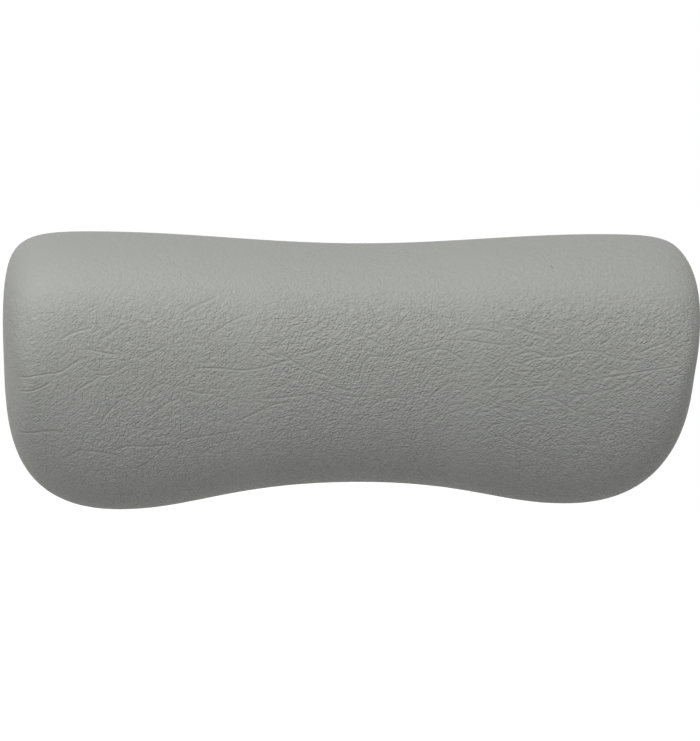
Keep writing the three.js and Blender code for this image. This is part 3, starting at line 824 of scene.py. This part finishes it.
def skin_material(skin):
    """Soft matt vinyl skin with its finest grain, and painted shade in its grooves and creases."""
    material, tree, shader, place = new_material("grained_skin", skin.base, SKIN_ROUGHNESS)
    shader.inputs["Specular IOR Level"].default_value = SKIN_SPECULAR
    parts = add_node(tree, "ShaderNodeSeparateXYZ", {"Vector": place}).outputs
    height = fine_height(tree, place, skin, GRAIN_RUNS[0])
    half = settings().form.pillow_length / 2
    for before, after in zip(GRAIN_RUNS, GRAIN_RUNS[1:]):
        border, reach = (before[0] + after[0]) / 2 * half, GRAIN_BLEND_SHARE / 2 * half
        passed = ramp(tree, parts["X"], border - reach, border + reach)
        height = blended(tree, passed, height, fine_height(tree, place, skin, after))
    for axis, depth_share, start, end in DEPTH_CHANGES:
        change = ramp(tree, parts["XYZ"[axis]], start, end, 1.0, depth_share)
        height = calculate(tree, "MULTIPLY", height, change)
    emboss_shader(tree, shader, calculate(tree, "MULTIPLY", height, stored(tree, "calm")), 1.0)
    # Painted shade: where the grain lies low, in grooves and creases, the skin is coloured the darker groove
    # grey
    tone_shader(tree, shader, ramp(tree, stored(tree, "grain"), *GROOVE_SHADE_SPAN), skin.groove, skin.base)
    return material


def bent_place(tree, place, angle, size, stretch):
    """A place in units of a pattern's size, turned to run at an angle and pushed about by noise."""
    sizes = (size * stretch, size, size)
    inputs = {"Vector": place, "Rotation": (0, -math.radians(angle), 0), "Scale": sizes}
    turned = add_node(tree, "ShaderNodeMapping", inputs, vector_type="TEXTURE").outputs[0]
    push = add_node(tree, "ShaderNodeTexNoise", {"Vector": turned, "Scale": WARP_SCALE, "Detail": 0.0})
    pushed = {0: push.outputs["Color"], 1: (2 * WARP,) * 3, 2: turned}
    return add_node(tree, "ShaderNodeVectorMath", pushed, operation="MULTIPLY_ADD").outputs[0]


def groove(tree, away, level, depth):
    """Height of a groove, from how far away its middle is."""
    return ramp(tree, away, 0.0, level, -GROOVE_SHARE * depth, (1 - GROOVE_SHARE) * depth)


def fine_height(tree, place, skin, run):
    """Height in metres of a run's cells and of the families of wrinkles that cross them."""
    _, run_share, angles = run
    cells = cell_edges(tree, bent_place(tree, place, angles[0], skin.cell_size, CELL_STRETCH), 1.0)
    height = groove(tree, cells, CELL_LEVEL, run_share * skin.cell_depth)
    for angle, (size_share, depth_share) in zip(angles, FAMILIES):
        bent = bent_place(tree, place, angle, size_share * skin.wrinkle_size, WRINKLE_STRETCH)
        away = calculate(tree, "ABSOLUTE", calculate(tree, "SUBTRACT", noise_level(tree, bent, 1.0), 0.5))
        dip = groove(tree, away, WRINKLE_LEVEL, run_share * depth_share * skin.wrinkle_depth)
        height = calculate(tree, "ADD", height, dip)
    return height


def moulded_material(name, base):
    """Moulded plastic or rubber with a fine even texture."""
    roughness, size, relief = MOULDED[name]
    material, tree, shader, place = new_material(name, base, roughness)
    emboss_shader(tree, shader, noise_level(tree, place, 1 / size, MOULDED_DETAIL), relief)
    uneven = noise_level(tree, place, UNEVEN_SCALE, UNEVEN_DETAIL)
    roughen_shader(tree, shader, uneven, roughness - UNEVEN_ROUGHNESS, roughness + UNEVEN_ROUGHNESS)
    dark, light = [[channel * tone for channel in base] for tone in UNEVEN_TONES]
    tone_shader(tree, shader, uneven, dark, light)
    return material


def foam_material(skin):
    """Open-cell foam."""
    material, tree, shader, place = new_material("foam", skin.foam, FOAM_ROUGHNESS)
    walls = ramp(tree, cell_edges(tree, place, FOAM_CELL_SCALE), 0.0, FOAM_WALL_SHARE, 1.0, 0.0)
    emboss_shader(tree, shader, walls, FOAM_RELIEF)
    return material


def steel_material(mount):
    """Stainless steel, turned."""
    material, tree, shader, place = new_material("screw_steel", mount.steel, STEEL_ROUGHNESS[0], 1.0)
    roughen_shader(tree, shader, noise_level(tree, place, SCRATCH_SCALE, SCRATCH_DETAIL), *STEEL_ROUGHNESS)
    return material


def cup_material(mount):
    """Clear soft vinyl with a faint haze."""
    material, tree, shader, place = new_material("cup_vinyl", mount.cup, CUP_ROUGHNESS[0])
    shader.inputs["Transmission Weight"].default_value = CUP_CLEARNESS
    shader.inputs["IOR"].default_value = CUP_IOR
    haze = ramp(tree, noise_level(tree, place, HAZE_SCALE, HAZE_DETAIL), *HAZE_SPAN, *CUP_ROUGHNESS)
    tree.links.new(haze, shader.inputs["Roughness"])
    return material


# Operators, one for each piece or group of pieces

class PILLOW_OT_skin(bpy.types.Operator):
    """Models the grained skin that wraps the front and turns onto the back"""
    bl_idname = "pillow.skin"
    bl_label = "Grained skin"

    def execute(self, context):
        form, skin = settings().form, settings().skin
        columns = even_columns(form, SKIN_COLUMNS)
        border = form.edge_radius + skin.return_width
        wall, rim = skin.wall, skin.rim_round
        front = even_rows(front_section(form, columns, 0.0), SKIN_FRONT_ROWS)
        edge = edge_section(form, columns, 0.0, 0.0, SKIN_EDGE_ROWS)
        insets = np.linspace(form.edge_radius, border - rim, SKIN_RETURN_ROWS + 1)[1:]
        border_rows = flat_section(form, columns, [(inset, 0.0) for inset in insets])
        cut_edge = rounded_corner((border - rim, 0.0), (border, 0.0), (border, rim))[1:]
        cut_edge += rounded_corner((border, wall - rim), (border, wall), (border - rim, wall))
        lining_edge = edge_section(form, columns, wall, wall, LINING_EDGE_ROWS)[::-1]
        lining_front = even_rows(front_section(form, columns, wall), LINING_FRONT_ROWS)[::-1]
        outer = np.concatenate([front, edge[1:], border_rows])
        rings = np.concatenate([outer, flat_section(form, columns, cut_edge), lining_edge, lining_front[1:]])
        bm = bmesh.new()
        add_lattice(bm, rings)
        piece = finish_piece(bm, "pillow_skin", skin_material(skin), SKIN_SHARP_ANGLE)
        self.emboss(piece.data, form, skin)
        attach(piece, "pillow")
        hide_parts("grain_cover")
        return {"FINISHED"}

    def emboss(self, mesh, form, skin):
        """Raises and sinks the outer surface by the grain, and keeps what the material needs of it."""
        places, normals = np.empty((2, len(mesh.vertices), 3))
        mesh.vertices.foreach_get("co", places.ravel())
        mesh.vertices.foreach_get("normal", normals.ravel())
        core = places * (form.crown_share, 0, 0) + (0, BACK_PLANE - form.edge_radius, form.crown_rise)
        outside = ((places - core) * normals).sum(axis=1) > 0
        stop = BACK_PLANE - GRAIN_STOP_SHARE * form.edge_radius
        fade = 1 - soft_step(BACK_PLANE - form.edge_radius, stop, places[:, 1])
        grained = np.nonzero(outside & (fade > 0))[0]
        heights, calm = np.zeros(len(places)), np.ones(len(places))
        heights[grained], calm[grained] = grain_heights(places[grained], skin, form.pillow_length / 2)
        heights *= fade
        mesh.vertices.foreach_set("co", (places + normals * heights[:, None]).ravel())
        # The grain's height sets where the painted shade of the grooves goes, and calm sets how strong the
        # bump is
        for name, values in (("grain", heights / skin.crease_depth), ("calm", calm)):
            mesh.attributes.new(name, "FLOAT", "POINT").data.foreach_set("value", values.astype(np.float32))
        mesh.update()


class PILLOW_OT_back_sheet(bpy.types.Operator):
    """Models the back sheet, with its weld line and a dish for each snap ring"""
    bl_idname = "pillow.back_sheet"
    bl_label = "Back sheet"

    def execute(self, context):
        form, skin, mount = settings().form, settings().skin, settings().mount
        front = BACK_PLANE - mount.sheet_thickness
        floor = RING_FRONT - skin.gap
        dish_front = floor - mount.sheet_thickness
        bm = bmesh.new()
        columns = even_columns(form, SHEET_COLUMNS)
        add_lattice(bm, flat_section(form, columns, self.border(form, skin, mount)))
        recess, round_off = RING_RADIUS + skin.gap, mount.sheet_round
        for side in SIDES:
            centre = (CUP_X[side], 0.0)
            walls = [(recess, BACK_PLANE, floor, round_off, -round_off),
                     (recess + mount.sheet_thickness, front, dish_front, round_off, -round_off),
                     (mount.throat_radius, floor, dish_front, round_off, round_off)]
            for wall in walls:
                add_lattice(bm, circle_rings(wall_stations(*wall), ROUND_COLUMNS, centre))
            for hole in screw_places(mount, centre):
                stations = wall_stations(mount.screw_radius + skin.gap, floor, dish_front,
                                         round_off / 2, round_off / 2)
                add_lattice(bm, circle_rings(stations, SMALL_COLUMNS, hole))
        for plane in (BACK_PLANE, front, floor, dish_front):
            cap_plane(bm, plane)
        piece = finish_piece(bm, "back_sheet", moulded_material("panel_vinyl", mount.sheet))
        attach(piece, "pillow")
        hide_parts("back_panel")
        return {"FINISHED"}

    def border(self, form, skin, mount):
        """(inset, depth) stations round the sheet's edge, from inside on its back to inside on its front."""
        edge = form.edge_radius + skin.return_width + mount.seam_groove
        thickness, round_off = mount.sheet_thickness, mount.sheet_round
        weld = edge + mount.weld_inset
        inside = weld + 2 * mount.weld_width
        stations = [(inside, 0.0)]
        for i in range(WELD_STEPS + 1):
            along = i / WELD_STEPS
            dip = mount.weld_depth * math.sin(math.pi * along) ** 2
            stations.append((weld + mount.weld_width * (1 - along), dip))
        stations += rounded_corner((edge + round_off, 0.0), (edge, 0.0), (edge, round_off))
        stations += rounded_corner((edge, thickness - round_off), (edge, thickness),
                                   (edge + round_off, thickness))
        return stations + [(inside, thickness)]


class PILLOW_OT_foam(bpy.types.Operator):
    """Models the foam that fills the skin, moulded round the insert plate"""
    bl_idname = "pillow.foam"
    bl_label = "Foam"

    def execute(self, context):
        form, skin, mount = settings().form, settings().skin, settings().mount
        layer, back_layer = skin.wall + skin.gap, mount.sheet_thickness + skin.gap
        columns = even_columns(form, FOAM_COLUMNS)
        front = even_rows(front_section(form, columns, layer), FOAM_FRONT_ROWS)
        edge = edge_section(form, columns, layer, back_layer, FOAM_EDGE_ROWS)
        rim, crown = outline(form, columns, form.edge_radius), crown_places(form, columns)
        ways = np.linspace(0, 1, FOAM_BACK_ROWS + 1)[1:]
        back = [placed(rim + (crown - rim) * way, back_layer) for way in ways]
        bm = bmesh.new()
        add_lattice(bm, np.concatenate([front, edge[1:], back]))
        piece = finish_piece(bm, "foam_fill", foam_material(skin))
        carve(piece, self.pocket(skin, mount))
        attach(piece, "pillow")
        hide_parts("foam_core")
        return {"FINISHED"}

    def pocket(self, skin, mount):
        """What the foam leaves free: the insert plate with its hollows, and a well for each dish."""
        bm = bmesh.new()
        bm.from_mesh(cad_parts["insert_plate"].data)
        bmesh.ops.remove_doubles(bm, verts=bm.verts, dist=MERGE_DISTANCE)
        bm.normal_update()
        for vert in bm.verts:
            vert.co += vert.normal * skin.gap * vert.calc_shell_factor()
        well = RING_RADIUS + mount.sheet_thickness + 2 * skin.gap
        head = mount.mushroom_radius + PLATE_WALL + CHAMBER_ROOM / 2
        boss = mount.screw_radius + PLATE_WALL
        for side in SIDES:
            centre = (CUP_X[side], 0.0)
            rods = [(centre, well, PLATE_HIGH.y), (centre, head, PLATE_HIGH.y - CHAMBER)]
            rods += [(place, boss, PLATE_LOW.y + PLATE_WALL / 2) for place in screw_places(mount, centre)]
            for place, radius, far in rods:
                stations = [(0.0, BACK_PLANE), (radius, BACK_PLANE), (radius, far), (0.0, far)]
                add_lattice(bm, circle_rings(stations, ROUND_COLUMNS, place))
        return finish_piece(bm, "foam_pocket", foam_material(skin))


class PILLOW_OT_insert(bpy.types.Operator):
    """Finishes the insert plate and the gaskets, which keep their frame nodes"""
    bl_idname = "pillow.insert"
    bl_label = "Insert plate and gaskets"

    def execute(self, context):
        mount = settings().mount
        plate = moulded_material("insert_nylon", mount.plate)
        rubber = moulded_material("gasket_rubber", mount.gasket)
        finishes = {"insert_plate": plate, "gasket_left": rubber, "gasket_right": rubber}
        for name, material in finishes.items():
            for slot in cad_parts[name].material_slots:
                slot.material = material
        return {"FINISHED"}


class PILLOW_OT_snap_rings(bpy.types.Operator):
    """Models the slit rings that the cups' heads snap into"""
    bl_idname = "pillow.snap_rings"
    bl_label = "Snap rings"

    def execute(self, context):
        skin, mount = settings().skin, settings().mount
        material = moulded_material("ring_nylon", mount.ring)
        for side in SIDES:
            centre = (CUP_X[side], 0.0)
            bm = bmesh.new()
            rim = wall_stations(RING_RADIUS, RING_BACK, RING_FRONT, -mount.sheet_round, -mount.sheet_round)
            add_lattice(bm, circle_rings(rim, ROUND_COLUMNS, centre))
            shank = mount.screw_radius + skin.gap
            sink = [(mount.head_radius + skin.gap, RING_BACK), (shank, RING_BACK - mount.head_height),
                    (shank, RING_FRONT)]
            for hole in screw_places(mount, centre):
                add_lattice(bm, circle_rings(sink, SMALL_COLUMNS, hole))
            add_lattice(bm, self.slit_hole(mount, centre))
            for plane in (RING_BACK, RING_FRONT):
                cap_plane(bm, plane)
            piece = finish_piece(bm, f"ring_{side}", material)
            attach(piece, "pillow")
            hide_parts(f"snap_ring_{side}")
        return {"FINISHED"}

    def slit_hole(self, mount, centre):
        """The neck's hole with its four slits, which are rounded at their ends."""
        radius, half = mount.hole_radius, mount.slit_width / 2
        mouth = math.asin(half / radius)
        contour = []
        for turn in QUARTER_TURNS:
            for step in range(SLIT_END_STEPS + 1):
                bend = math.pi * (step / SLIT_END_STEPS - 0.5)
                reach = radius + mount.slit_length - half + half * math.cos(bend)
                contour.append(turned_place(reach, half * math.sin(bend), turn))
            for step in range(SLIT_ARC_STEPS + 1):
                bend = mouth + (math.pi / 2 - 2 * mouth) * step / SLIT_ARC_STEPS
                contour.append(turned_place(radius * math.cos(bend), radius * math.sin(bend), turn))
        return np.array([[(centre[0] + x, plane, centre[1] + z) for x, z in contour + contour[:1]]
                         for plane in (RING_BACK, RING_FRONT)])


class PILLOW_OT_screws(bpy.types.Operator):
    """Models the countersunk screws of the snap rings"""
    bl_idname = "pillow.screws"
    bl_label = "Ring screws"

    def execute(self, context):
        mount = settings().mount
        material = steel_material(mount)
        for side in SIDES:
            for number in range(1, SCREW_COUNT + 1):
                low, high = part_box(f"ring_screw_{side}_{number}")
                centre = ((low.x + high.x) / 2, (low.z + high.z) / 2)
                bm = bmesh.new()
                add_lattice(bm, self.shank(mount, centre, low.y, high.y))
                add_lattice(bm, self.drive(mount, centre, high.y))
                cap_plane(bm, high.y)
                cap_plane(bm, high.y - mount.drive_depth)
                piece = finish_piece(bm, f"screw_{side}_{number}", material)
                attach(piece, "pillow")
                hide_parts(f"ring_screw_{side}_{number}")
        return {"FINISHED"}

    def shank(self, mount, centre, tip, top):
        """Head, neck, thread and point."""
        neck = top - mount.head_height
        stations = rounded_corner((mount.head_radius - HEAD_ROUND, top), (mount.head_radius, top),
                                  (mount.head_radius, top - HEAD_ROUND))
        rings = list(circle_rings(stations, SMALL_COLUMNS, centre))
        depths = np.arange(neck, tip + SCREW_POINT, -mount.thread_pitch / THREAD_ROWS)
        turns = np.linspace(0, 2 * math.pi, SMALL_COLUMNS + 1)
        for depth in depths:
            phase = (depth / mount.thread_pitch + turns / (2 * math.pi)) % 1
            crest = np.maximum(0, 1 - np.abs(2 * phase - 1) * THREAD_SLENDERNESS)
            fade = min(1, (neck - depth) / mount.thread_pitch,
                       (depth - tip - SCREW_POINT) / mount.thread_pitch + THREAD_END_SHARE)
            radii = mount.screw_core + (mount.screw_radius - mount.screw_core) * crest * fade
            rings.append(np.stack([centre[0] + radii * np.cos(turns), np.full(len(turns), depth),
                                   centre[1] + radii * np.sin(turns)], axis=-1))
        rings += list(circle_rings([(0.0, tip)], SMALL_COLUMNS, centre))
        return np.array(rings)

    def drive(self, mount, centre, top):
        """The tapering cross recess."""
        half, reach = mount.drive_width / 2, mount.drive_length / 2
        corners = ((reach, -half), (reach, half), (half, half))
        cross = [turned_place(*corner, turn) for turn in QUARTER_TURNS for corner in corners]
        return np.array([[(centre[0] + size * x, top - depth * mount.drive_depth, centre[1] + size * z)
                          for x, z in cross + cross[:1]] for size, depth in DRIVE_SHARES])


class PILLOW_OT_cups(bpy.types.Operator):
    """Models the suction cups with their heads and pull tabs"""
    bl_idname = "pillow.cups"
    bl_label = "Suction cups"

    def execute(self, context):
        mount = settings().mount
        material = cup_material(mount)
        for side in SIDES:
            bm = bmesh.new()
            add_lattice(bm, circle_rings(self.profile(mount), ROUND_COLUMNS, (CUP_X[side], 0.0)))
            self.pull_tab(bm, mount, CUP_X[side])
            piece = finish_piece(bm, f"cup_{side}", material)
            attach(piece, f"{side}_cup")
            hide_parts(f"suction_cup_{side}")
        return {"FINISHED"}

    def profile(self, mount):
        """(radius, depth) stations from the head's tip over neck, hub and bell into the hollow."""
        off, tip, lip = CUP_ROUND, CUP_LOW.y, -mount.cup_lip
        head_back, foot = tip + mount.mushroom_length, BACK_PLANE + mount.hub_height
        head, neck, hub, rim = mount.mushroom_radius, mount.neck_radius, mount.hub_radius, mount.cup_radius
        hollow, hollow_top = rim - mount.cup_rim, BACK_PLANE + mount.crown_wall
        width, rise = rim - hub, lip - foot
        along = np.linspace(0, 1, CUP_CURVE_STEPS + 1)
        dome = bezier((0.0, tip), (DOME_SHARE * head, tip),
                      (head, head_back - DOME_SHARE * mount.mushroom_length), (head, head_back - off), along)
        bell = bezier((hub, foot), (hub + BELL_SHARE * width, foot),
                      (rim - BELL_SHARE * width, lip - BELL_SHARE * rise), (rim - off, lip), along)
        wide, half = HOLLOW_SHARES
        inside = bezier((hollow, 0.0), (wide * hollow, half * hollow_top), (half * hollow, hollow_top),
                        (0.0, hollow_top), along)
        stations = [tuple(place) for place in dome]
        stations += rounded_corner((head, head_back - off), (head, head_back), (head - off, head_back))
        stations += rounded_corner((neck + off, head_back), (neck, head_back), (neck, head_back + off))
        stations.append((neck, BACK_PLANE))
        stations += rounded_corner((hub - off, BACK_PLANE), (hub, BACK_PLANE), (hub, BACK_PLANE + off))
        stations += [tuple(place) for place in bell]
        stations += rounded_corner((rim - off, lip), (rim, lip), (rim, lip + off))[1:]
        stations += rounded_corner((rim, -off), (rim, 0.0), (rim - off, 0.0))
        return stations + [tuple(place) for place in inside]

    def pull_tab(self, bm, mount, centre_x):
        """Draws the tongue out of the rim's foot, with ribs for the fingers across it."""
        rim, half_width, middle = mount.cup_radius, mount.tab_width / 2, -mount.cup_lip / 2
        centres = {face: face.calc_center_median() for face in bm.faces}
        faces = [face for face, centre in centres.items()
                 if abs(centre.x - centre_x) < half_width and abs(centre.y - middle) < TAB_PICK
                 and centre.z < -TAB_ROOT_SHARE * rim]
        widest = max(abs(vert.co.x - centre_x) for face in faces for vert in face.verts)
        end_centre = rim + mount.tab_length - half_width
        for reach in np.arange(rim + TAB_STEP, rim + mount.tab_length, TAB_STEP):
            past = min(max((reach - end_centre) / half_width, 0.0), 1.0)
            width = half_width * math.sqrt(1 - past * past)
            rib = max(0.0, math.cos(2 * math.pi * (reach - rim) / TAB_RIB_PITCH)) ** 2
            rib *= soft_step(*TAB_RIB_START, (reach - rim) / TAB_RIB_PITCH) * (past < TAB_RIB_END)
            thickness = mount.tab_thickness / 2 * (TAB_WEB_SHARE + (1 - TAB_WEB_SHARE) * rib)
            new = bmesh.ops.extrude_face_region(bm, geom=faces)["geom"]
            bmesh.ops.delete(bm, geom=faces, context="FACES")
            faces = [item for item in new if isinstance(item, bmesh.types.BMFace)]
            for vert in {vert for face in faces for vert in face.verts}:
                across = (vert.co.x - centre_x) / widest
                side = math.copysign(1, vert.co.y - middle)
                vert.co = Vector((centre_x + width * across, middle + side * thickness, -reach))
            widest = width


# Stage

# The point that the camera looks at and the key light shines on
AIM = (-0.003, -0.040, 0.0076)
SENSOR_WIDTH_MM = 36
FLOOR_ROUGHNESS = 0.9


def direction(azimuth, elevation):
    """Unit vector away from the pillow, turned to the right of the front and raised."""
    return Vector((math.sin(azimuth) * math.cos(elevation), -math.cos(azimuth) * math.cos(elevation),
                   math.sin(elevation)))


class PILLOW_OT_stage(bpy.types.Operator):
    """Sets up the camera, the lights and the floor"""
    bl_idname = "pillow.stage"
    bl_label = "Stage"

    def execute(self, context):
        stage = settings().stage
        self.camera(context.scene, stage)
        self.lights(context.scene, stage)
        self.floor(context.scene, stage)
        context.scene.view_settings.view_transform = "Standard"
        return {"FINISHED"}

    def camera(self, scene, stage):
        """A camera that looks down at the pillow from the front."""
        roll = stage.roll
        away = direction(stage.azimuth, stage.elevation)
        right = Vector((math.cos(stage.azimuth), math.sin(stage.azimuth), 0))
        up = away.cross(right)
        camera = bpy.data.objects.new("camera", bpy.data.cameras.new("camera"))
        camera.data.lens = stage.focal_length
        camera.data.sensor_width = SENSOR_WIDTH_MM
        scene.collection.objects.link(camera)
        across, upright = [a * math.cos(roll) + b * math.sin(roll) for a, b in ((right, up), (up, -right))]
        matrix = Matrix((across, upright, away)).transposed().to_4x4()
        matrix.translation = Vector(AIM) + away * stage.distance
        camera.matrix_world = matrix
        scene.camera = camera

    def lights(self, scene, stage):
        """One large soft light above the front, and even light from all round."""
        lamp = bpy.data.lights.new("key", "AREA")
        lamp.shape = "SQUARE"
        lamp.size = stage.key_size
        lamp.energy = stage.key_power
        towards_key = direction(stage.key_azimuth, stage.key_elevation)
        key = bpy.data.objects.new("key", lamp)
        key.location = Vector(AIM) + towards_key * stage.key_distance
        key.rotation_euler = towards_key.to_track_quat("Z", "Y").to_euler()
        scene.collection.objects.link(key)
        world = bpy.data.worlds.new("studio")
        world.use_nodes = True
        scene.world = world
        tree = world.node_tree
        background = tree.nodes["Background"]
        background.inputs["Color"].default_value = (1, 1, 1, 1)
        strength = blended(tree, seen_ray(tree), stage.fill_strength, 1.0)
        tree.links.new(strength, background.inputs["Strength"])

    def floor(self, scene, stage):
        """A pale floor below the pillow, which hangs on the wall of a tub."""
        bm = bmesh.new()
        bmesh.ops.create_circle(bm, cap_ends=True, segments=ROUND_COLUMNS, radius=stage.floor_radius)
        bmesh.ops.translate(bm, verts=bm.verts, vec=(0, 0, COVER_LOW.z - stage.floor_drop))
        mesh = bpy.data.meshes.new("floor")
        bm.to_mesh(mesh)
        bm.free()
        floor = bpy.data.objects.new("floor", mesh)
        scene.collection.objects.link(floor)
        material, tree, shader, _ = new_material("pale_floor", (stage.floor_grey,) * 3, FLOOR_ROUGHNESS)
        shader.inputs["Emission Color"].default_value = (1, 1, 1, 1)
        glow = calculate(tree, "MULTIPLY", seen_ray(tree), stage.floor_glow)
        tree.links.new(glow, shader.inputs["Emission Strength"])
        mesh.materials.append(material)


# Add-on

OPERATORS = (PILLOW_OT_stage, PILLOW_OT_skin, PILLOW_OT_back_sheet, PILLOW_OT_foam, PILLOW_OT_insert,
             PILLOW_OT_snap_rings, PILLOW_OT_screws, PILLOW_OT_cups)


class PILLOW_PT_panel(bpy.types.Panel):
    """Lists the pillow's pieces"""
    bl_label = "Bath pillow"
    bl_idname = "PILLOW_PT_panel"
    bl_space_type = "VIEW_3D"
    bl_region_type = "UI"
    bl_category = "Bath pillow"

    def draw(self, context):
        for operator in OPERATORS:
            self.layout.operator(operator.bl_idname)


CLASSES = (FormSettings, SkinSettings, MountSettings, StageSettings, PillowSettings, *OPERATORS,
           PILLOW_PT_panel)


def register():
    for cls in CLASSES:
        bpy.utils.register_class(cls)
    bpy.types.Scene.bath_pillow = PointerProperty(type=PillowSettings)


def unregister():
    del bpy.types.Scene.bath_pillow
    for cls in reversed(CLASSES):
        bpy.utils.unregister_class(cls)


def main():
    register()
    for operator in OPERATORS:
        group, name = operator.bl_idname.split(".")
        getattr(getattr(bpy.ops, group), name)()


if __name__ == "__main__":
    main()
